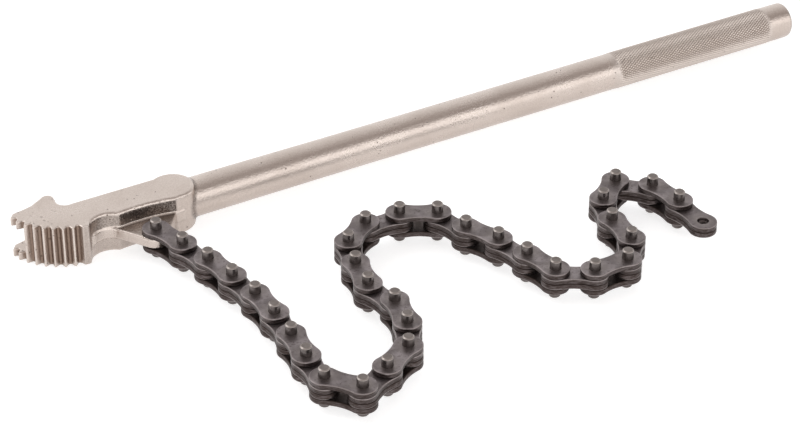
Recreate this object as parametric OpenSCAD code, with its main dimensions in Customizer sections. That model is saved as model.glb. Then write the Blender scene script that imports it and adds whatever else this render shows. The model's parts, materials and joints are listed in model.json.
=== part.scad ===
// Chain wrench for filters and pipes: one forging carries a serrated head, two hook ears,
// a lug and a knurled bar, and a leaf chain swings from the lug.
//
// The wrench lies on its side. +X runs from the head along the bar, +Z is up and the chain
// lies on the -Y side. The origin is on the head's flat underside, square to the first pin.

/* [Bar] */
// Distance from the first pin to the far end of the bar
bar_reach = 340; // [250:1:450]
// Radius of the plain bar
bar_r = 8.3; // [7:0.1:9]
// Extra radius of the bar where it grows out of the head
bar_flare = 0.3; // [0:0.05:0.8]
// Distance from the first pin to where the flare ends
flare_end = 95; // [60:1:140]
// Length of the knurled grip
knurl_length = 88; // [40:0.5:120]
// How far the knurl stands above the plain bar
knurl_height = 0.12; // [0.05:0.01:0.3]
// Length of the plain end beyond the knurl
bar_end = 12; // [10:0.5:30]
// Rounding of the end of the bar
bar_end_round = 2; // [0.5:0.1:4]

/* [Head] */
// Thickness of the head
head_t = 19; // [18:0.1:22]
// Radius of the boss that joins the head to the bar
boss_r = 9.5; // [9:0.1:11]
// Radius of the serrated nose
nose_r = 28.5; // [27:0.1:30]
// Depth of the grooves across the nose
groove_depth = 2.2; // [1:0.1:3]
// Angle from one groove to the next
groove_step = 8.5; // [8:0.1:8.7]
// Width of the top of each ridge
ridge_top = 1; // [0.9:0.1:1.5]
// Thickness of each hook ear
ear_t = 3.9; // [3:0.1:4.5]
// Radius of the notch that catches a chain pin
notch_r = 4; // [3:0.1:4.5]
// Radius of the rounded tip of each horn
horn_r = 2.7; // [2:0.1:3]

/* [Lug] */
// Distance from the bar's axis to the first pin
lug_reach = 20.4; // [18:0.1:22]
// Radius of the lug's round end
lug_r = 5.8; // [5:0.05:5.9]
// How far the web on either side of the lug stands out of the head's wall
web_proud = 0.9; // [0.3:0.1:1.2]

/* [Chain] */
// Distance between neighbouring pins
pitch = 15.875; // [15:0.125:17]
// Number of outer links, and of inner links
link_pairs = 16; // [4:1:16]
// Radius of the round ends of the plates
plate_end_r = 5.95; // [5.5:0.05:6.2]
// Half width of the plates at the waist
plate_waist = 4.7; // [4:0.1:5]
// Thickness of one plate
plate_t = 2.4; // [2:0.1:2.4]
// Gap between the two inner plates of a link
leaf_gap = 0.05; // [0.02:0.01:0.1]
// Side gap between the inner plates and the outer plates
side_gap = 0.08; // [0.05:0.01:0.12]
// Radius of the pins
pin_r = 2.38; // [2:0.02:2.6]
// How far each pin stands out of the outer plates at both ends
pin_proud = 4; // [2:0.1:4.5]
// Chamfer of the pin ends
pin_chamfer = 0.5; // [0.1:0.1:1]
// Radial clearance of the inner plates and the lug on the pins
running_gap = 0.06; // [0.02:0.01:0.1]
// Radial interference of the pins in the outer plates
press = 0.01; // [0:0.005:0.02]

/* [Hidden] */
function two_digits(n) = n < 10 ? str("0", n) : str(n);
$fn = 96;

// The forging and the chain share one middle plane.
mid_z = head_t / 2;
grip_start = bar_reach - bar_end - knurl_length;
grip_stop = bar_reach - bar_end;
boss_at = [17, -0.8];

// The serrated nose is an arc about this point, and its grooves are counted from the corner.
nose_centre = [-24.8, 16.8];
corner_angle = -93;
first_groove = -101.65;
groove_count = 8;
groove_open = (groove_step - ridge_top / nose_r * 180 / PI) / 2;
groove_floor = 1;

// The slot between the ears, and the notch behind the horns.
slot_floor_y = 4;
slot_run = [-26, -19];
notch_at = [-26.3, 11.5];
horn_at = [-32.5, 16.1];
back_y = 7.6;

// Hollows of the wall that faces the chain: one shallow and long, one deep and short.
near_wall_y = -10.9;
long_hollow_r = 68;
long_hollow_at = [-2.4, -76.6];
short_hollow_r = 9;
short_hollow_at = [-18, -15.9];

// Where the web begins, beside the serrated nose's corner.
web_start = [-25.6, -11.5];

// Feet of the lug's two straight sides on the head.
lug_left = [-13.9, -9.1];
lug_right = [14.5, -10.5];
first_pin = [0, -lug_reach];
stack_t = 2 * plate_t + leaf_gap;
bore_r = pin_r + running_gap;
pin_half = stack_t / 2 + side_gap + plate_t + pin_proud;

// A waist arc slightly larger than the one that would only touch the round ends.
touching_r = (pow(pitch / 2, 2) + pow(plate_waist, 2) - pow(plate_end_r, 2))
    / (2 * (plate_end_r - plate_waist));
waist_r = 1.05 * touching_r;

// How the chain lies at rest: the way its first link points, and the bend at each pin
// from the second one on, in whole degrees with left turns positive.
first_heading = -73;
rest_bends = [
    -3, -3, -3, -7, -5, -3, 4, 41, 76, 5, 32, 17, 24, -23, -8, -37,
    -37, -26, -44, 9, -11, -1, 44, 31, 51, 36, -17, -32, -81, -36, -6
];

// Link i runs from pin i to pin i + 1.
function heading(i) = i == 1 ? first_heading : heading(i - 1) + rest_bends[i - 2];
function along(angle, length) = length * [cos(angle), sin(angle)];
function pin_at(i) = i == 1 ? first_pin : pin_at(i - 1) + along(heading(i - 1), pitch);

// Where a straight line from p touches a circle, on the given side of the line of centres.
function touch(p, centre, r, side) =
    let (gap = centre - p, far = norm(gap))
    let (turn = atan2(gap.y, gap.x) + side * asin(r / far))
    p + along(turn, sqrt(far * far - r * r));

// Points of the serrated nose, from its corner round to the tips of the ears.
function nose_points() = concat(
    [nose_centre + along(corner_angle, nose_r)],
    [
        for (i = [0:groove_count - 1])
            let (a = first_groove - i * groove_step)
                each [
                    nose_centre + along(a + groove_open, nose_r),
                    nose_centre + along(a + groove_floor, nose_r - groove_depth),
                    nose_centre + along(a - groove_floor, nose_r - groove_depth),
                    nose_centre + along(a - groove_open, nose_r)
                ]
    ]
);

module head_outline() {
    difference() {
        union() {
            polygon(concat(
                nose_points(),
                [
                    [-52.2, 9.2],
                    [-49.75, 12.2],
                    [-40.7, 14.4],
                    [-34, 18.3],
                    [-29.9, 16.1],
                    [-29.9, 11.5],
                    [-26, back_y],
                    [boss_at.x, back_y],
                    [boss_at.x, -10],
                    [14.2, near_wall_y],
                    [-12, -9.6]
                ]
            ));
            translate(horn_at) circle(r = horn_r);
            translate(boss_at) circle(r = boss_r);
        }
        translate(notch_at) circle(r = notch_r);
        translate(long_hollow_at) circle(r = long_hollow_r, $fn = 360);
        translate(short_hollow_at) circle(r = short_hollow_r);
    }
}

// The chain passes between the ears here, and its pins drop into the notch behind the horns.
module ear_slot() {
    translate([0, 0, ear_t])
        linear_extrude(head_t - 2 * ear_t)
            polygon([
                [-60, slot_floor_y],
                [slot_run[0], slot_floor_y],
                [slot_run[1], back_y + 1],
                [slot_run[1], 25],
                [-60, 25]
            ]);
}

module lug_outline() {
    left_touch = touch(lug_left, first_pin, lug_r, -1);
    right_touch = touch(lug_right, first_pin, lug_r, 1);
    polygon([lug_left, left_touch, first_pin, right_touch, lug_right, [14, 0], [-13, 0]]);
    translate(first_pin) circle(r = lug_r);
}

// On both sides of the lug the web of the forging stands a little proud of the head's wall.
module web_outline() {
    difference() {
        polygon([
            [web_start.x, 0],
            [boss_at.x, 0],
            [boss_at.x, near_wall_y - 0.1],
            [14.2, near_wall_y - web_proud],
            [-12, -9.6 - web_proud],
            web_start
        ]);
        translate(long_hollow_at) circle(r = long_hollow_r - web_proud, $fn = 360);
        translate(short_hollow_at) circle(r = short_hollow_r - web_proud);
    }
}

module lug_blank() {
    translate([0, 0, mid_z - stack_t / 2])
        linear_extrude(stack_t) {
            lug_outline();
            web_outline();
        }
}

module bar() {
    translate([0, 0, mid_z])
        rotate([0, 90, 0])
            rotate_extrude() {
                polygon([
                    [0, boss_at.x],
                    [bar_r + bar_flare, boss_at.x],
                    [bar_r, flare_end],
                    [bar_r, grip_start],
                    [bar_r + knurl_height, grip_start + knurl_height],
                    [bar_r + knurl_height, grip_stop - knurl_height],
                    [bar_r, grip_stop],
                    [bar_r, bar_reach - bar_end_round],
                    [bar_r - bar_end_round, bar_reach - bar_end_round],
                    [bar_r - bar_end_round, bar_reach],
                    [0, bar_reach]
                ]);
                intersection() {
                    translate([bar_r - bar_end_round, bar_reach - bar_end_round])
                        circle(r = bar_end_round);
                    translate([bar_r - bar_end_round, bar_reach - bar_end_round])
                        square(bar_end_round);
                }
            }
}

module forged_body() {
    color([0.72, 0.67, 0.58])
        difference() {
            union() {
                difference() {
                    linear_extrude(head_t) head_outline();
                    ear_slot();
                }
                lug_blank();
                bar();
            }
            translate([first_pin.x, first_pin.y, mid_z - stack_t])
                cylinder(r = bore_r, h = 2 * stack_t);
        }
}

// A chain plate, flat on z = 0 and centred between its two holes.
module plate(hole_r) {
    difference() {
        linear_extrude(plate_t)
            difference() {
                union() {
                    square([pitch, 1.92 * plate_end_r], center = true);
                    for (side = [-1, 1])
                        translate([side * pitch / 2, 0]) circle(r = plate_end_r);
                }
                for (side = [-1, 1])
                    translate([0, side * (plate_waist + waist_r)]) circle(r = waist_r, $fn = 240);
            }
        for (side = [-1, 1])
            translate([side * pitch / 2, 0, -1]) cylinder(r = hole_r, h = plate_t + 2);
    }
}

// Puts its children midway between pins i and i + 1, on the middle plane.
module on_link(i) {
    translate([pin_at(i).x, pin_at(i).y, mid_z])
        rotate([0, 0, heading(i)])
            translate([pitch / 2, 0, 0])
                children();
}

// The two plates outside each outer link.
module outer_plates(k) {
    color([0.29, 0.26, 0.24])
        on_link(2 * k - 1) {
            translate([0, 0, stack_t / 2 + side_gap]) plate(pin_r - press);
            translate([0, 0, -stack_t / 2 - side_gap - plate_t]) plate(pin_r - press);
        }
}

// The two pins that are pressed into an outer link.
module pins(k) {
    color([0.42, 0.4, 0.37])
        on_link(2 * k - 1)
            for (side = [-1, 1])
                translate([side * pitch / 2, 0, 0])
                    rotate_extrude()
                        polygon([
                            [0, -pin_half],
                            [pin_r - pin_chamfer, -pin_half],
                            [pin_r, pin_chamfer - pin_half],
                            [pin_r, pin_half - pin_chamfer],
                            [pin_r - pin_chamfer, pin_half],
                            [0, pin_half]
                        ]);
}

// The two plates side by side inside each inner link. The last link's far hole stays empty.
module inner_leaves(k) {
    color([0.35, 0.31, 0.28])
        on_link(2 * k) {
            translate([0, 0, leaf_gap / 2]) plate(bore_r);
            translate([0, 0, -leaf_gap / 2 - plate_t]) plate(bore_r);
        }
}

forged_body();
for (k = [1:link_pairs]) {
    outer_plates(k);
    pins(k);
    inner_leaves(k);
}
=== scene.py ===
import json
import math

import bmesh
import bpy
import numpy as np
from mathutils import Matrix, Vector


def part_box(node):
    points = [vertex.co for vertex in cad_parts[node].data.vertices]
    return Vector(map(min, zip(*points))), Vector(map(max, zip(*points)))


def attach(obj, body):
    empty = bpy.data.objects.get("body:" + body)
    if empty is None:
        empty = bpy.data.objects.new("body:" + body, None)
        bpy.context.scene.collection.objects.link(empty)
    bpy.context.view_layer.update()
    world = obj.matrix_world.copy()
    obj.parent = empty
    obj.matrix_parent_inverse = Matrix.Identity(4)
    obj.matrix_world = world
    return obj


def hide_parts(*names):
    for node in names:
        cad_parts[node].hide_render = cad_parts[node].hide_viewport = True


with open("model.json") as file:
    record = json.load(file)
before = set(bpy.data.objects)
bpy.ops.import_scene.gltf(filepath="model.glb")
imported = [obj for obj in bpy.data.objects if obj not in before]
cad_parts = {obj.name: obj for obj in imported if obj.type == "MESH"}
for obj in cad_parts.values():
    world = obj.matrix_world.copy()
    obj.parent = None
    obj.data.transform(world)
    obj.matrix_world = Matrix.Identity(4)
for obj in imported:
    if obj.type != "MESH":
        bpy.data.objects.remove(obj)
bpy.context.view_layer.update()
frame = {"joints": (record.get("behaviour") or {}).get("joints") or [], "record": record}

import openvdb
from mathutils import Matrix, Vector
from mathutils.geometry import delaunay_2d_cdt

# ---------------------------------------------------------------- frame
# The wrench lies on its side: +X runs along the bar, +Z is up and the chain is on the -Y side.
# Shapes are drawn in millimetres and scaled to metres as they become meshes.
MM = 0.001
MOUNTS = {m["name"]: m for m in frame["record"]["mounts"]}
PINS = [Vector(j["pos_m"]) for j in sorted(frame["joints"], key=lambda j: j["name"])]
PINS.append(Vector(MOUNTS["chain_end_hole"]["pos_m"]))
PITCH = (PINS[1] - PINS[0]).length / MM
LINK_PAIRS = (len(PINS) - 1) // 2
MID = PINS[0].z / MM
LUG_PIN = (PINS[0].x / MM, PINS[0].y / MM)

body_low, body_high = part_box("forged_body")
BAR_REACH = body_high.x / MM
HALF_T = (body_high.z - body_low.z) / MM / 2
BAR_R = next(m for m in MOUNTS.values() if m["kind"] == "pin")["dims"]["r_mm"]
BORE_R = MOUNTS["chain_end_hole"]["dims"]["r_mm"]
RUNNING_GAP = 0.06
PIN_R = BORE_R - RUNNING_GAP
STACK_HALF = (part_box("inner_leaves_01")[1].z / MM) - MID
OUTER_HALF = (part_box("outer_plates_01")[1].z / MM) - MID
PIN_HALF = (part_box("pins_01")[1].z / MM) - MID
SIDE_GAP = 0.08
PLATE_T = OUTER_HALF - STACK_HALF - SIDE_GAP


# ---------------------------------------------------------------- camera
def make_camera():
    """A long lens from the head's end of the chain side, looking down a third of the way."""
    data = bpy.data.cameras.new("camera")
    data.sensor_width = 36
    data.lens = 117.3
    camera = bpy.data.objects.new("camera", data)
    bpy.context.scene.collection.objects.link(camera)
    camera.location = (-0.3703, -0.8493, 0.6039)
    heading = math.radians(30.45)
    down = math.radians(32.81)
    look = Vector((
        math.sin(heading) * math.cos(down),
        math.cos(heading) * math.cos(down),
        -math.sin(down),
    ))
    roll = Matrix.Rotation(math.radians(0.15), 4, "Z")
    turn = look.to_track_quat("-Z", "Y").to_matrix().to_4x4() @ roll
    camera.rotation_euler = turn.to_euler()
    data.clip_start = 0.05
    data.clip_end = 20
    bpy.context.scene.camera = camera


# ---------------------------------------------------------------- shader helpers
class Shader:
    """A small wrapper that adds and joins nodes of one material or world."""

    def __init__(self, tree):
        self.tree = tree
        tree.nodes.clear()

    def node(self, kind, inputs=None, **settings):
        made = self.tree.nodes.new(kind)
        for name, value in settings.items():
            setattr(made, name, value)
        for name, value in (inputs or {}).items():
            self.put(made.inputs[name], value)
        return made

    def put(self, socket, value):
        if isinstance(value, bpy.types.NodeSocket):
            self.tree.links.new(value, socket)
        else:
            socket.default_value = value

    def math(self, operation, a, b=0.0, clamp=False):
        made = self.tree.nodes.new("ShaderNodeMath")
        made.operation = operation
        made.use_clamp = clamp
        self.put(made.inputs[0], a)
        self.put(made.inputs[1], b)
        return made.outputs[0]

    def noise(self, place, scale, detail=3.0, roughness=0.55):
        wanted = {"Vector": place, "Scale": scale, "Detail": detail, "Roughness": roughness}
        return self.node("ShaderNodeTexNoise", wanted).outputs["Fac"]

    def spread(self, value, low, high, to_low=0.0, to_high=1.0):
        made = self.node("ShaderNodeMapRange", interpolation_type="SMOOTHSTEP")
        for socket, given in zip(made.inputs, (value, low, high, to_low, to_high)):
            self.put(socket, given)
        return made.outputs[0]

    def mix(self, share, a, b):
        made = self.node("ShaderNodeMix", data_type="RGBA")
        self.put(made.inputs["Factor"], share)
        self.put(made.inputs[6], a)
        self.put(made.inputs[7], b)
        return made.outputs[2]

    def attribute(self, name):
        return self.node("ShaderNodeAttribute", attribute_name=name).outputs["Fac"]

    def bump(self, height, strength, distance, below=None):
        wanted = {"Height": height, "Strength": strength, "Distance": distance}
        made = self.node("ShaderNodeBump", wanted)
        if below is not None:
            self.put(made.inputs["Normal"], below)
        return made.outputs[0]

    def object_place(self, shift_each=False):
        """Object coordinates in metres, shifted for each object so that no two look alike."""
        place = self.node("ShaderNodeTexCoord").outputs["Object"]
        if not shift_each:
            return place
        chance = self.node("ShaderNodeObjectInfo").outputs["Random"]
        shift = self.node("ShaderNodeCombineXYZ", {"X": chance, "Y": chance, "Z": chance})
        added = self.node("ShaderNodeVectorMath", operation="ADD")
        self.put(added.inputs[0], place)
        self.put(added.inputs[1], shift.outputs[0])
        return added.outputs[0]

    def stretched(self, place, scale):
        made = self.node("ShaderNodeVectorMath", operation="MULTIPLY")
        self.put(made.inputs[0], place)
        self.put(made.inputs[1], scale)
        return made.outputs[0]

    def metal(self, colour, roughness, normal, metallic=1.0):
        shader = self.node("ShaderNodeBsdfPrincipled", {
            "Base Color": colour,
            "Roughness": roughness,
            "Metallic": metallic,
            "Normal": normal,
        })
        out = self.node("ShaderNodeOutputMaterial")
        self.put(out.inputs["Surface"], shader.outputs[0])


def new_material(name):
    material = bpy.data.materials.new(name)
    material.use_nodes = True
    return material, Shader(material.node_tree)


def rgb(r, g, b):
    return (r, g, b, 1.0)


# ---------------------------------------------------------------- materials
def forging_material():
    """Shot-blasted forging with a warm grey plating and brown in its grooves, with painted shade in its
    hollows and a painted highlight on its edges and knurl.
    """
    material, s = new_material("forging_plated")
    place = s.object_place()
    cloud = s.noise(place, 45.0, 4.0)
    grain = s.noise(place, 2300.0, 2.0)
    blast = s.noise(place, 1100.0, 2.0)
    pits = s.node("ShaderNodeTexVoronoi", {"Vector": place, "Scale": 420.0}).outputs["Distance"]
    pit_here = s.spread(s.noise(place, 120.0, 2.0), 0.52, 0.62)
    along = s.node("ShaderNodeSeparateXYZ", {"Vector": place}).outputs["X"]
    pit_here = s.math("MAXIMUM", pit_here, s.spread(along, -0.046, -0.028, 0.9, 0.0))
    pit = s.math("MULTIPLY", s.spread(pits, 0.06, 0.2, 1.0, 0.0), pit_here)
    groove = s.attribute("groove")
    recess = s.attribute("recess")
    edge = s.attribute("edge")
    knurl_here = s.attribute("knurl")
    speckle = s.spread(s.noise(place, 1500.0, 2.0), 0.38, 0.62, 1.0, 0.55)
    colour = s.mix(s.spread(cloud, 0.35, 0.65), rgb(0.6, 0.525, 0.48), rgb(0.55, 0.475, 0.43))
    colour = s.mix(s.spread(grain, 0.3, 0.7, 0.0, 0.42), colour, rgb(0.36, 0.295, 0.255))
    colour = s.mix(s.math("MULTIPLY", groove, 0.88), colour, rgb(0.2, 0.135, 0.1))
    # Painted shade in the hollows and the knurl's grooves, speckled.
    colour = s.mix(s.math("MULTIPLY", recess, speckle), colour, rgb(0.085, 0.065, 0.055))
    colour = s.mix(s.math("MULTIPLY", pit, 0.85), colour, rgb(0.12, 0.09, 0.075))
    # Painted highlight on the convex edges and over the knurl.
    colour = s.mix(s.math("MULTIPLY", edge, 0.35), colour, rgb(0.75, 0.68, 0.63))
    roughness = s.spread(cloud, 0.3, 0.7, 0.26, 0.33)
    roughness = s.math("ADD", roughness, s.math("MULTIPLY", groove, 0.1))
    roughness = s.math("ADD", roughness, s.math("MULTIPLY", knurl_here, 0.1))
    height = s.math("SUBTRACT", blast, s.math("MULTIPLY", pit, 1.5))
    normal = s.bump(height, 0.85, 0.00018)
    normal = s.bump(grain, 0.45, 0.00006, normal)
    s.metal(colour, roughness, normal)
    return material


def plate_material():
    """Oiled dark steel plates: smooth faces, and sides with a sheared band and a torn one. Painted shade
    darkens the sides and holes, and a painted highlight lightens the rounded upper edges.
    """
    material, s = new_material("plate_dark_steel")
    place = s.object_place(shift_each=True)
    chance = s.node("ShaderNodeObjectInfo").outputs["Random"]
    cloud = s.noise(place, 160.0, 4.0)
    grain = s.noise(place, 2200.0, 3.0)
    layers = s.noise(s.stretched(place, (0.25, 0.25, 2.2)), 1600.0, 3.0)
    speck = s.spread(s.noise(place, 900.0, 2.0), 0.57, 0.66)
    torn = s.attribute("torn")
    side = s.attribute("side")
    edge = s.attribute("edge")
    colour = s.mix(s.spread(cloud, 0.36, 0.64), rgb(0.25, 0.217, 0.22), rgb(0.14, 0.119, 0.119))
    colour = s.mix(s.math("MULTIPLY", chance, 0.4), colour, rgb(0.115, 0.095, 0.095))
    colour = s.mix(s.math("MULTIPLY", speck, 0.55), colour, rgb(0.055, 0.04, 0.035))
    streak = s.spread(layers, 0.38, 0.62, 0.55, 1.0)
    # Painted shade down the plate's sides and in its holes, streaked; the band at the lower edge is a
    # painted shadow line.
    colour = s.mix(s.math("MULTIPLY", side, streak, clamp=True), colour, rgb(0.045, 0.032, 0.028))
    # Painted highlight on the rounded upper edges and the holes' chamfers.
    colour = s.mix(s.math("MULTIPLY", edge, 0.45), colour, rgb(0.33, 0.29, 0.28))
    roughness = s.spread(cloud, 0.3, 0.7, 0.33, 0.43)
    roughness = s.math("ADD", roughness, s.math("MULTIPLY", torn, 0.12))
    depth = s.math("ADD", 0.15, s.math("MULTIPLY", torn, 0.7))
    normal = s.bump(grain, depth, 0.0001)
    normal = s.bump(layers, s.math("MULTIPLY", side, 0.6), 0.00008, normal)
    s.metal(colour, roughness, normal, 0.93)
    return material


def pin_material():
    """Dark steel pins with a painted highlight on the chamfer, and worn end faces."""
    material, s = new_material("pin_dark_steel")
    place = s.object_place(shift_each=True)
    cloud = s.noise(place, 300.0, 3.0)
    grain = s.noise(place, 2600.0, 2.0)
    edge = s.attribute("edge")
    face = s.attribute("face")
    colour = s.mix(s.spread(cloud, 0.3, 0.7), rgb(0.16, 0.14, 0.135), rgb(0.1, 0.085, 0.08))
    colour = s.mix(s.math("MULTIPLY", face, 0.6), colour, rgb(0.2, 0.17, 0.155))
    # Painted highlight on the chamfer ring.
    colour = s.mix(s.math("MULTIPLY", edge, 0.7), colour, rgb(0.42, 0.375, 0.35))
    roughness = s.spread(cloud, 0.3, 0.7, 0.26, 0.36)
    roughness = s.math("ADD", roughness, s.math("MULTIPLY", face, 0.12))
    normal = s.bump(grain, 0.2, 0.00006)
    s.metal(colour, roughness, normal, 0.95)
    return material


def floor_material():
    """A plain white sweep that glows a little, so that it stays pale all the way out."""
    material, s = new_material("floor_white")
    diffuse = s.node("ShaderNodeBsdfDiffuse", {"Color": rgb(0.6, 0.6, 0.6)})
    glow = s.node("ShaderNodeEmission", {"Color": rgb(1, 1, 1), "Strength": 0.66})
    both = s.node("ShaderNodeAddShader")
    s.put(both.inputs[0], diffuse.outputs[0])
    s.put(both.inputs[1], glow.outputs[0])
    out = s.node("ShaderNodeOutputMaterial")
    s.put(out.inputs["Surface"], both.outputs[0])
    return material


# ---------------------------------------------------------------- distance fields
def join(a, b, r):
    """Union of two solids with a concave fillet of radius r."""
    corner = np.hypot(np.maximum(r - a, 0), np.maximum(r - b, 0))
    return np.maximum(r, np.minimum(a, b)) - corner


def keep(a, b, r):
    """What two solids share, with the new edges rounded to radius r."""
    corner = np.hypot(np.maximum(r + a, 0), np.maximum(r + b, 0))
    return np.minimum(-r, np.maximum(a, b)) + corner


def cut(a, b, r):
    """The first solid less the second, with the new edges rounded to radius r."""
    return keep(a, -b, r)


def disc(x, y, centre, r):
    return np.hypot(x - centre[0], y - centre[1]) - r


def inside_polygon(x, y, points):
    """Signed distance to a closed polygon, negative inside."""
    nearest = np.full(np.broadcast(x, y).shape, 1e9)
    sign = np.ones(nearest.shape)
    for (ax, ay), (bx, by) in zip(points, points[-1:] + points[:-1]):
        ex, ey = bx - ax, by - ay
        wx, wy = x - ax, y - ay
        t = np.clip((wx * ex + wy * ey) / (ex * ex + ey * ey), 0, 1)
        nearest = np.minimum(nearest, (wx - ex * t) ** 2 + (wy - ey * t) ** 2)
        above, below, left = y >= ay, y < by, ex * wy > ey * wx
        crosses = (above & below & left) | (~above & ~below & ~left)
        sign = np.where(crosses, -sign, sign)
    return sign * np.sqrt(nearest)


def smooth_step(value, low, high):
    t = np.clip((value - low) / (high - low), 0, 1)
    return t * t * (3 - 2 * t)


# ---------------------------------------------------------------- forging
# The serrated nose is an arc about this point, and its grooves are counted from the corner.
NOSE_CENTRE = (-24.8, 16.8)
NOSE_R = 28.5
CORNER_ANGLE = -93
GROOVE_DEPTH = 2.2
GROOVE_STEP = 8.5
GROOVE_FLOOR = 1
FIRST_GROOVE = -101.65
GROOVES = 8
# The rest of the head, and discs that are joined to it or cut out of it.
BOSS = (17.0, -0.8)
BOSS_R = 9.5
BACK_Y = 7.6
EAR_T = 3.9
HORN, HORN_R = (-32.5, 16.1), 2.7
NOTCH, NOTCH_R = (-26.3, 11.5), 4.0
LONG_HOLLOW, LONG_HOLLOW_R = (-2.4, -76.6), 68.0
SHORT_HOLLOW, SHORT_HOLLOW_R = (-18.0, -15.9), 9.0
LUG_LEFT, LUG_RIGHT, LUG_R = (-13.9, -9.1), (14.5, -10.5), 5.8
SLOT = [(-60, 4), (-26, 4), (-19, BACK_Y + 1), (-19, 25), (-60, 25)]
RIDGE_TOP = 0.5
WEB_PROUD = 1.0
DRAFT = math.tan(math.radians(2.5))
# The bar's flare, and where the head's mesh gives way to the bar's rings.
FLARE_END = 95.0
FLARE = 0.3
SEAM_X = 42.0
VOXEL = 0.35


def on_nose(angle, r):
    a = math.radians(angle)
    return (NOSE_CENTRE[0] + r * math.cos(a), NOSE_CENTRE[1] + r * math.sin(a))


def head_points():
    """The head seen from above: the serrated nose, the ear, the horn, the back and the near wall."""
    half_top = math.degrees(RIDGE_TOP / 2 / NOSE_R)
    opening = GROOVE_STEP / 2 - half_top
    points = [on_nose(CORNER_ANGLE, NOSE_R)]
    for i in range(GROOVES):
        a = FIRST_GROOVE - i * GROOVE_STEP
        points.append(on_nose(a + opening, NOSE_R))
        points.append(on_nose(a + GROOVE_FLOOR, NOSE_R - GROOVE_DEPTH))
        points.append(on_nose(a - GROOVE_FLOOR, NOSE_R - GROOVE_DEPTH))
        points.append(on_nose(a - opening, NOSE_R))
    return points + [
        (-52.2, 9.2), (-49.75, 12.2), (-40.7, 14.4), (-34.0, 18.3), (-29.9, 16.1),
        (-29.9, 11.5), (-26.0, BACK_Y), (BOSS[0], BACK_Y), (BOSS[0], -10.0),
        (14.2, -10.9), (-12.0, -9.6),
    ]


def head_plan(x, y):
    """Signed distance to the head's outline at its top face."""
    plan = inside_polygon(x, y, head_points())
    plan = join(plan, disc(x, y, HORN, HORN_R), 0.3)
    plan = np.minimum(plan, disc(x, y, BOSS, BOSS_R))
    plan = cut(plan, disc(x, y, NOTCH, NOTCH_R), 0.4)
    plan = cut(plan, disc(x, y, LONG_HOLLOW, LONG_HOLLOW_R), 0.5)
    return cut(plan, disc(x, y, SHORT_HOLLOW, SHORT_HOLLOW_R), 0.6)


def lug_plan(x, y):
    """Signed distance to the lug: a round end about the first pin, and two straight sides."""
    sides = []
    for foot, side in ((LUG_LEFT, -1), (LUG_RIGHT, 1)):
        gap = Vector(LUG_PIN) - Vector(foot)
        turn = math.atan2(gap.y, gap.x) + side * math.asin(LUG_R / gap.length)
        reach = math.sqrt(gap.length ** 2 - LUG_R ** 2)
        sides.append((foot[0] + reach * math.cos(turn), foot[1] + reach * math.sin(turn)))
    points = [LUG_LEFT, sides[0], LUG_PIN, sides[1], LUG_RIGHT, (14.0, 0.0), (-13.0, 0.0)]
    return np.minimum(disc(x, y, LUG_PIN, LUG_R), inside_polygon(x, y, points))


def bar_radius(x):
    """The bar is slightly thicker where it grows out of the head."""
    return BAR_R + FLARE * np.clip((FLARE_END - x) / (FLARE_END - BOSS[0]), 0, 1)


def edge_radius(x, y):
    """How far the forging's upper and lower edges are rounded: least on the nose, most by the chain."""
    near = smooth_step(x, -26.5, -24) * smooth_step(-y, 0, 4)
    far = np.hypot(x - NOSE_CENTRE[0], y - NOSE_CENTRE[1])
    nose = smooth_step(-x, 24, 26) * smooth_step(far, 21, 24)
    return 0.85 + 0.7 * near - 0.5 * nose * (1 - near)


def web_field(plan, x, y, high):
    """The band beside the lug that stands proud of the head's wall and fades at both ends."""
    ends = np.maximum(np.abs(x + 2.5) - 21.5, y + 5)
    return keep(keep(plan - WEB_PROUD, ends, 2.0), high - STACK_HALF, 0.7)


def head_field(x, y, z):
    """Signed distance to the head, its lug and the start of the bar, in millimetres."""
    flat_x, flat_y = x[:, :, 0], y[:, :, 0]
    high = np.abs(z - MID)
    plan = head_plan(flat_x, flat_y)[:, :, None]
    draft = DRAFT * smooth_step(x, -26, -20) * (HALF_T - high)
    solid = keep(plan - draft, high - HALF_T, edge_radius(x, y))
    slot_plan = inside_polygon(flat_x, flat_y, SLOT)[:, :, None]
    slot = np.maximum(slot_plan, high - (HALF_T - EAR_T))
    solid = cut(solid, slot, 0.5)
    bar = np.maximum(np.hypot(y, z - MID) - bar_radius(x), 8 - x)
    solid = join(solid, bar, 0.9)
    lug = keep(lug_plan(flat_x, flat_y)[:, :, None], high - STACK_HALF, 1.0)
    solid = join(solid, join(lug, web_field(plan, x, y, high), 0.8), 0.8)
    solid = np.maximum(solid, BORE_R - np.hypot(x - LUG_PIN[0], y - LUG_PIN[1]))
    return np.maximum(solid, x - SEAM_X - 1)


def head_mesh():
    """The head as a bmesh in millimetres, open where the bar goes on."""
    # The grid reaches a little past the head on every side.
    low = np.array([-54.0, -27.5, -1.2])
    size = np.array([SEAM_X + 2.4 - low[0], 48.0, 21.4])
    counts = np.ceil(size / VOXEL).astype(int)
    axes = [low[i] + VOXEL * np.arange(counts[i]) for i in range(3)]
    x, y, z = np.meshgrid(*axes, indexing="ij", sparse=True)
    layer = (counts[0], counts[1], 1)
    field = head_field(np.broadcast_to(x, layer), np.broadcast_to(y, layer), z)
    grid = openvdb.FloatGrid(3.0)
    grid.copyFromArray(np.clip(field, -3, 3).astype(np.float32))
    points, quads = grid.convertToQuads(0.0)
    points = low + VOXEL * points
    points[:, 2] = np.clip(points[:, 2], MID - HALF_T, MID + HALF_T)
    made = bmesh.new()
    verts = [made.verts.new(p) for p in points]
    for a, b, c, d in quads:
        made.faces.new((verts[d], verts[c], verts[b], verts[a]))
    everything = made.verts[:] + made.edges[:] + made.faces[:]
    bmesh.ops.bisect_plane(made, geom=everything, dist=1e-4, plane_co=(SEAM_X, 0, 0),
                           plane_no=(1, 0, 0), clear_outer=True)
    return made


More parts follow.
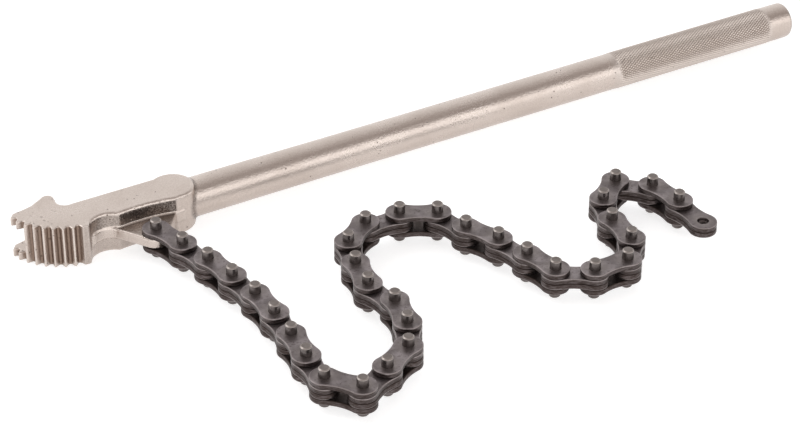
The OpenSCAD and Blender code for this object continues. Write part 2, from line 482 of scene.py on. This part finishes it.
def ring(made, x, r, count):
    """A ring of points round the bar's axis."""
    points = []
    for k in range(count):
        a = 2 * math.pi * k / count
        points.append(made.verts.new((x, r * math.cos(a), MID + r * math.sin(a))))
    return points


def bridge(made, first, second):
    """Smooth quads between two rings of the same number of points."""
    for k in range(len(first)):
        n = (k + 1) % len(first)
        made.faces.new((first[k], first[n], second[n], second[k])).smooth = True


def extend(made, previous, rings):
    """Rings of the given places and radii, each bridged to the one before. Returns the last one."""
    for x, r in rings:
        fresh = ring(made, x, r, len(previous))
        bridge(made, previous, fresh)
        previous = fresh
    return previous


def stitch(made, loop, ring_points):
    """Triangles between the head's open edge and the bar's first ring, walked by angle."""
    def angle(v):
        return math.atan2(v.co.z - MID, v.co.y) % (2 * math.pi)

    a = sorted(loop, key=angle)
    b = sorted(ring_points, key=angle)
    angles_a = [angle(v) for v in a] + [angle(a[0]) + 2 * math.pi]
    angles_b = [angle(v) for v in b] + [angle(b[0]) + 2 * math.pi]
    i = j = 0
    while i < len(a) or j < len(b):
        here_a, here_b = a[i % len(a)], b[j % len(b)]
        if j == len(b) or (i < len(a) and angles_a[i + 1] <= angles_b[j + 1]):
            i += 1
            made.faces.new((here_a, a[i % len(a)], here_b)).smooth = True
        else:
            j += 1
            made.faces.new((here_b, here_a, b[j % len(b)])).smooth = True


# The knurl: two families of grooves that cross, and a flat-topped diamond between each four.
TEETH = 43
AROUND = 2 * TEETH
KNURL_START = 240.0
KNURL_END = 328.0
KNURL_ROWS = 83
KNURL_TOP = 0.12
KNURL_DEPTH = 0.3
KNURL_FLAT = 0.42
END_ROUND = 2.0


def is_crossing(k, n):
    """Whether two grooves of the knurl cross at place k of row n."""
    return (k + n) % 2 == 0


def knurl_fade(n, rows):
    """The knurl runs out over a few rows at both ends."""
    return min(1.0, n / rows, (KNURL_ROWS - n) / rows)


def knurl_place(k, n, r):
    a = 2 * math.pi * k / AROUND
    x = KNURL_START + (KNURL_END - KNURL_START) / KNURL_ROWS * n
    return Vector((x, r * math.cos(a), MID + r * math.sin(a)))


def diamond(made, corners, peak, r):
    """One tooth: a flat top of radius r about the peak, and four flanks down to the crossings."""
    tops = []
    for corner in corners:
        flat = peak.lerp(corner.co, KNURL_FLAT)
        scale = r / math.hypot(flat.y, flat.z - MID)
        tops.append(made.verts.new((flat.x, flat.y * scale, MID + (flat.z - MID) * scale)))
    made.faces.new(tops)
    for c in range(4):
        d = (c + 1) % 4
        made.faces.new((corners[c], corners[d], tops[d], tops[c]))


def half_diamond(made, rows, k, n):
    """The two triangles that close the knurl against the plain ring at either of its ends."""
    middle, left, right = rows[n][k], rows[n][k - 1], rows[n][(k + 1) % AROUND]
    if n == 0:
        pairs = ((left, rows[1][k]), (rows[1][k], right))
    else:
        pairs = ((rows[n - 1][k], left), (right, rows[n - 1][k]))
    for p, q in pairs:
        made.faces.new((middle, q, p))


def knurl(made, first):
    """The knurled band. It starts on the ring it is given, and its last ring is returned."""
    rows = [first]
    for n in range(1, KNURL_ROWS + 1):
        last = n == KNURL_ROWS
        deep = BAR_R if last else BAR_R + KNURL_TOP - KNURL_DEPTH * knurl_fade(n, 3)
        rows.append([
            made.verts.new(knurl_place(k, n, deep)) if last or is_crossing(k, n) else None
            for k in range(AROUND)
        ])
    for n in range(KNURL_ROWS + 1):
        r = BAR_R + KNURL_TOP * knurl_fade(n, 2)
        for k in range(AROUND):
            if is_crossing(k, n):
                continue
            if n in (0, KNURL_ROWS):
                half_diamond(made, rows, k, n)
                continue
            corners = [rows[n][k - 1], rows[n - 1][k], rows[n][(k + 1) % AROUND], rows[n + 1][k]]
            diamond(made, corners, knurl_place(k, n, r), r)
    return rows[-1]


def bar_mesh(made, head_edge):
    """The bar from the seam to its far end, joined to the head's open edge."""
    flare = np.linspace(SEAM_X + 0.4, FLARE_END, 8)
    plain = np.linspace(110, KNURL_START - 3, 11)
    before = [(x, float(bar_radius(x))) for x in (*flare, *plain, KNURL_START)]
    round_x, round_r = BAR_REACH - END_ROUND, BAR_R - END_ROUND
    after = [(KNURL_END + 1.5, BAR_R), (BAR_REACH - 6, BAR_R), (round_x, BAR_R)]
    for a in (18, 36, 54, 72, 90):
        t = math.radians(a)
        after.append((round_x + END_ROUND * math.sin(t), round_r + END_ROUND * math.cos(t)))
    after += [(BAR_REACH, 4.2), (BAR_REACH, 2.0)]

    previous = ring(made, *before[0], AROUND)
    stitch(made, head_edge, previous)
    previous = extend(made, previous, before[1:])
    previous = knurl(made, previous)
    previous = extend(made, previous, after)
    made.faces.new(previous).smooth = True


def mean_bend(mesh):
    """How far each point stands out of the mean of its neighbours, along its normal, in metres."""
    count = len(mesh.vertices)
    co = np.zeros(count * 3)
    mesh.vertices.foreach_get("co", co)
    co = co.reshape(-1, 3)
    normals = np.zeros(count * 3)
    mesh.vertices.foreach_get("normal", normals)
    pairs = np.zeros(len(mesh.edges) * 2, dtype=np.int32)
    mesh.edges.foreach_get("vertices", pairs)
    a, b = pairs.reshape(-1, 2).T
    total = np.zeros((count, 3))
    np.add.at(total, a, co[b])
    np.add.at(total, b, co[a])
    near = np.bincount(pairs, minlength=count)[:, None]
    return co, normals.reshape(-1, 3), ((co - total / near) * normals.reshape(-1, 3)).sum(1)


def add_point_value(mesh, name, values):
    layer = mesh.attributes.new(name, "FLOAT", "POINT")
    layer.data.foreach_set("value", np.asarray(values, dtype=np.float32))


def finished_mesh(name, made, material):
    """A mesh in metres from a bmesh in millimetres, with its faces turned outwards."""
    bmesh.ops.recalc_face_normals(made, faces=made.faces)
    bmesh.ops.scale(made, vec=(MM, MM, MM), verts=made.verts)
    mesh = bpy.data.meshes.new(name)
    made.to_mesh(mesh)
    made.free()
    mesh.materials.append(material)
    return mesh


def link_object(name, mesh):
    made = bpy.data.objects.new(name, mesh)
    bpy.context.scene.collection.objects.link(made)
    return made


# How dark the painted shade is along the wall that faces the chain: pairs of x and share.
WALL_START = -26.5
WALL_SHADE = ((WALL_START, 0.35), (-22, 0.62), (-10.9, 0.62), (-3, 0.42), (3, 0.9), (13.9, 1.0), (14.5, 0.0))


def on_knurl(x):
    return (x > KNURL_START) * (x < KNURL_END)


def recess_shade(x, y, up, level):
    """Painted shade in the hollows: along the wall by the chain, on the lug, where the boss meets the bar,
    at the near corner, at the bar's end and in the knurl's grooves.
    """
    shade = np.interp(x, *zip(*WALL_SHADE)) * smooth_step(-y, 5, 7) * (x > WALL_START)
    # The painted shade is full on the wall's upper side and weaker on its lower side.
    side = np.where(up > 0, 1.0, 0.35)
    high = np.abs(up)
    wall = shade * side * smooth_step(high, 2.8, 3.4) * smooth_step(-high, -8.6, -8.0)
    on_lug = 0.5 * smooth_step(level, 0.8, 0.95) * (high < 2.6) * (y < -9)
    from_boss = np.hypot(x - BOSS[0], y - BOSS[1]) - BOSS_R
    from_bar = np.hypot(y, up) - bar_radius(x)
    beside_boss = 0.8 * (x > BOSS[0]) * smooth_step(-np.hypot(from_boss, from_bar), -1.5, -0.5)
    corner = 0.35 * (np.abs(x + 26.6) < 2.6) * (y < -10) * (level < 0.5)
    bar_end = 0.5 * smooth_step(x, BAR_REACH - 1.9, BAR_REACH - 0.9)
    in_knurl = 0.65 * on_knurl(x) * np.clip((KNURL_TOP - from_bar) / KNURL_DEPTH, 0, 1)
    return np.maximum.reduce([wall, on_lug, beside_boss, corner, bar_end, in_knurl])


def add_forging_shades(mesh):
    """The point values that the forging's material reads."""
    co, normals, bend = mean_bend(mesh)
    x, y, up = (co / MM - (0, 0, MID)).T
    level = np.abs(normals[:, 2])
    on_head = x < SEAM_X - 1
    add_point_value(mesh, "knurl", on_knurl(x))
    # Painted highlight: the head's convex edges, and the whole knurl.
    add_point_value(mesh, "edge", np.clip(bend / MM / 0.05, 0, 1) * on_head + 0.9 * on_knurl(x))
    far = np.hypot(x - NOSE_CENTRE[0], y - NOSE_CENTRE[1])
    on_wall = (1 - level) * (x < -25) * (far > 24.5) * (y < 11)
    add_point_value(mesh, "groove", np.clip((NOSE_R - 0.7 - far) / 1.5, 0, 1) * on_wall)
    # Painted shade for the hollows, the lug, the boss's foot, the bar's end and the knurl's grooves.
    add_point_value(mesh, "recess", recess_shade(x, y, up, level))


def build_forging(material):
    """The head, lug and bar as one piece."""
    made = head_mesh()
    head_edge = [v for v in made.verts if abs(v.co.x - SEAM_X) < 1e-3]
    for face in made.faces:
        face.smooth = True
    bar_mesh(made, head_edge)
    mesh = finished_mesh("forging", made, material)
    add_forging_shades(mesh)
    forging = link_object("forging", mesh)
    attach(forging, "forged_body")
    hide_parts("forged_body")


# ---------------------------------------------------------------- chain
PLATE_END_R = 5.95
PLATE_WAIST = 4.7
WAIST_R = ((PITCH / 2) ** 2 + PLATE_WAIST ** 2 - PLATE_END_R ** 2) / (2 * (PLATE_END_R - PLATE_WAIST))


def plate_outline(inset):
    """A chain plate's outline, drawn in by inset: two round ends that run into two waist arcs."""
    waist_y = PLATE_WAIST + WAIST_R
    lean = math.atan2(waist_y, PITCH / 2)
    points = []
    for side in (1, -1):
        for k in range(25):
            a = (math.pi - lean) * (2 * k / 24 - 1)
            r = PLATE_END_R - inset
            points.append((side * (PITCH / 2 + r * math.cos(a)), side * r * math.sin(a)))
        sweep = math.pi / 2 - lean
        for k in range(1, 14):
            a = sweep * (1 - 2 * k / 14)
            r = WAIST_R + inset
            points.append((side * r * math.sin(a), side * (waist_y - r * math.cos(a))))
    return points


# Down a plate's side: how far it is drawn in, and how far down it is. The punch rounds the
# upper edge, shears a smooth band and then tears the rest, a little further in.
PLATE_SIDE = (
    (0.42, 0.0), (0.24, 0.03), (0.09, 0.12), (0.02, 0.28), (0.0, 0.5), (0.0, 1.2),
    (0.07, 1.3), (0.09, 1.42), (0.05, PLATE_T - 0.3), (0.14, PLATE_T - 0.12), (0.35, PLATE_T),
)
TORN_FROM = 1.25
HOLE_SIDE = ((0.16, 0.0), (0.0, 0.16), (0.0, PLATE_T - 0.16), (0.16, PLATE_T))


def hole_ring(centre_x, r, count=40):
    return [(centre_x + r * math.cos(2 * math.pi * k / count), r * math.sin(2 * math.pi * k / count))
            for k in range(count)]


def close_face(made, loops, hole_r):
    """The flat face of a plate between its outline and its two open holes."""
    verts = [v for loop in loops for v in loop]
    edges = []
    for loop in loops:
        start = len(edges)
        edges += [(start + k, start + (k + 1) % len(loop)) for k in range(len(loop))]
    points, _, faces = delaunay_2d_cdt([Vector(v.co.xy) for v in verts], edges, [], 5, 1e-6)[:3]
    for face in faces:
        middle = sum((points[k] for k in face), Vector((0, 0))) / len(face)
        if Vector((abs(middle.x) - PITCH / 2, middle.y)).length > hole_r:
            made.faces.new([verts[k] for k in face])


def plate_mesh(name, hole_r, material):
    """A punched plate with two holes. Its rounded upper face is at z = 0 and its lower at -PLATE_T."""
    made = bmesh.new()
    layers = [made.verts.layers.float.new(word) for word in ("torn", "edge", "side")]

    # The values are those of the layers, in the same order.
    def level(points, z, *values):
        fresh = [made.verts.new((x, y, z)) for x, y in points]
        for v in fresh:
            for layer, value in zip(layers, values):
                v[layer] = value
        return fresh

    sides = []
    for inset, down in PLATE_SIDE:
        torn = 1.0 if down > TORN_FROM else 0.0
        # edge: painted highlight on the rounded upper edge.
        edge = 1.0 if 0.02 < down < 0.3 else 0.0
        # side: painted shade down the side, and 2.0 for a painted shadow line along the lower edge.
        side = 0.0 if down < 0.3 else 1.0 if down < PLATE_T - 0.25 else 2.0
        sides.append(level(plate_outline(inset), -down, torn, edge, side))
    holes = []
    for centre_x in (-PITCH / 2, PITCH / 2):
        # Hole walls carry painted shade and their chamfers a painted highlight.
        holes.append([level(hole_ring(centre_x, hole_r + inset), -down, 0.0, 1.0 if inset else 0.0, 1.0)
                      for inset, down in HOLE_SIDE])
    for upper, lower in zip(sides, sides[1:]):
        bridge(made, upper, lower)
    for levels in holes:
        for upper, lower in zip(levels, levels[1:]):
            bridge(made, upper, lower)
    for which in (0, -1):
        close_face(made, [sides[which]] + [levels[which] for levels in holes], hole_r)
    return finished_mesh(name, made, material)


# From near the middle of a pin's end outwards and down: radius less the pin's, and depth.
PIN_END = ((-1.5, 0.05), (-0.62, 0.0), (-0.5, 0.02), (-0.1, 0.42), (-0.02, 0.5), (0.0, 0.62))
PIN_SIDES = 48


def pin_mesh(material):
    """A chamfered pin about z, as long as the CAD pin."""
    made = bmesh.new()
    chamfer_highlight_layer = made.verts.layers.float.new("edge")
    face_layer = made.verts.layers.float.new("face")
    profile = [(PIN_R + out, PIN_HALF - down) for out, down in PIN_END]
    profile += [(r, -z) for r, z in reversed(profile)]
    previous = None
    for r, z in profile:
        fresh = []
        for k in range(PIN_SIDES):
            a = 2 * math.pi * k / PIN_SIDES
            v = made.verts.new((r * math.cos(a), r * math.sin(a), z))
            depth = PIN_HALF - abs(z)
            # The chamfer ring gets a painted highlight.
            v[chamfer_highlight_layer] = 1.0 if 0.01 < depth < 0.55 and r > 1.8 else 0.0
            v[face_layer] = 1.0 if r < 1.9 else 0.0
            fresh.append(v)
        if previous:
            bridge(made, previous, fresh)
        else:
            made.faces.new(fresh)
        previous = fresh
    made.faces.new(previous)
    return finished_mesh("pin", made, material)


def put_plate(name, mesh, i, from_middle):
    """A copy of a plate on the link that runs from pin i to the next one, turned in its own mesh."""
    gap = PINS[i + 1] - PINS[i]
    turned = mesh.copy()
    turned.transform(Matrix.Rotation(math.atan2(gap.y, gap.x), 4, "Z") @ from_middle)
    piece = link_object(name, turned)
    piece.location = (PINS[i] + PINS[i + 1]) / 2
    return piece


def build_chain(plate_metal, pin_metal):
    """Two plates for every link, and the two pins that are pressed into each outer link."""
    outer = plate_mesh("outer_plate", PIN_R, plate_metal)
    inner = plate_mesh("inner_plate", BORE_R, plate_metal)
    pin = pin_mesh(pin_metal)
    over = Matrix.Rotation(math.pi, 4, "X")
    for k in range(LINK_PAIRS):
        label = f"{k + 1:02d}"
        for first, mesh, half, body, node, slot in (
            (2 * k, outer, OUTER_HALF, "outer_link_", "outer_plates_", "outer_plate"),
            (2 * k + 1, inner, STACK_HALF, "inner_link_", "inner_leaves_", "inner_plate"),
        ):
            lift = Matrix.Translation((0, 0, half * MM))
            for word, flip in (("top", Matrix.Identity(4)), ("bottom", over)):
                piece = put_plate(f"{mesh.name}_{word}_{label}", mesh, first, flip @ lift)
                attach(piece, body + label)
            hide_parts(node + label)
        for number in (2 * k, 2 * k + 1):
            piece = link_object(f"pin_{number + 1:02d}", pin)
            piece.matrix_world = Matrix.Translation(PINS[number])
            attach(piece, "outer_link_" + label)
            if number == 2 * k:
                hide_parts("pins_" + label)


# ---------------------------------------------------------------- stage
# The room's light by height, from the horizon in front over the top to the horizon behind,
# in degrees: a bright band low in front, a dim ceiling above it and a bright wall behind.
ROOM = (
    (0, 1.2), (12, 1.5), (22, 1.85), (37, 1.85), (47, 0.95), (57, 0.52), (68, 0.44),
    (82, 0.58), (96, 0.76), (112, 0.92), (128, 1.08), (145, 1.18), (160, 1.2), (180, 1.2),
)


def build_stage():
    """A white sweep, a soft light behind the wrench, and the room around them."""
    made = bmesh.new()
    bmesh.ops.create_grid(made, x_segments=2, y_segments=2, size=6)
    mesh = bpy.data.meshes.new("floor")
    made.to_mesh(mesh)
    made.free()
    mesh.materials.append(floor_material())
    link_object("floor", mesh)

    world = bpy.data.worlds.new("room")
    bpy.context.scene.world = world
    world.use_nodes = True
    s = Shader(world.node_tree)
    direction = s.node("ShaderNodeTexCoord").outputs["Generated"]
    parts = s.node("ShaderNodeSeparateXYZ", {"Vector": direction})
    front = s.math("MULTIPLY", parts.outputs["Y"], -1.0)
    turn = s.math("ARCTAN2", parts.outputs["Z"], front)
    ramp = s.node("ShaderNodeValToRGB", {"Fac": s.math("DIVIDE", turn, math.pi)})
    stops = ramp.color_ramp.elements
    stops[1].position = ROOM[-1][0] / 180
    for degrees, level in ROOM[1:-1]:
        stops.new(degrees / 180)
    for stop, (degrees, level) in zip(stops, ROOM):
        stop.position = degrees / 180
        warm = 0.17 * max(0.0, 1.0 - level)
        stop.color = rgb(level / 2, level * (1 - warm) / 2, level * (1 - 1.4 * warm) / 2)
    glow = s.node("ShaderNodeBackground", {"Color": ramp.outputs["Color"], "Strength": 2.0})
    out = s.node("ShaderNodeOutputWorld")
    s.put(out.inputs["Surface"], glow.outputs[0])

    light = bpy.data.lights.new("soft_back", "AREA")
    light.shape = "RECTANGLE"
    light.size = 0.9
    light.size_y = 0.9
    light.energy = 5.0
    lamp = bpy.data.objects.new("soft_back", light)
    bpy.context.scene.collection.objects.link(lamp)
    lamp.location = (-0.9, 0.7, 1.2)
    aim = Vector((0.12, -0.05, 0)) - lamp.location
    lamp.rotation_euler = aim.to_track_quat("-Z", "Y").to_euler()


# ---------------------------------------------------------------- build
make_camera()
build_stage()
build_forging(forging_material())
build_chain(plate_material(), pin_material())
bpy.context.scene.view_settings.view_transform = "Standard"
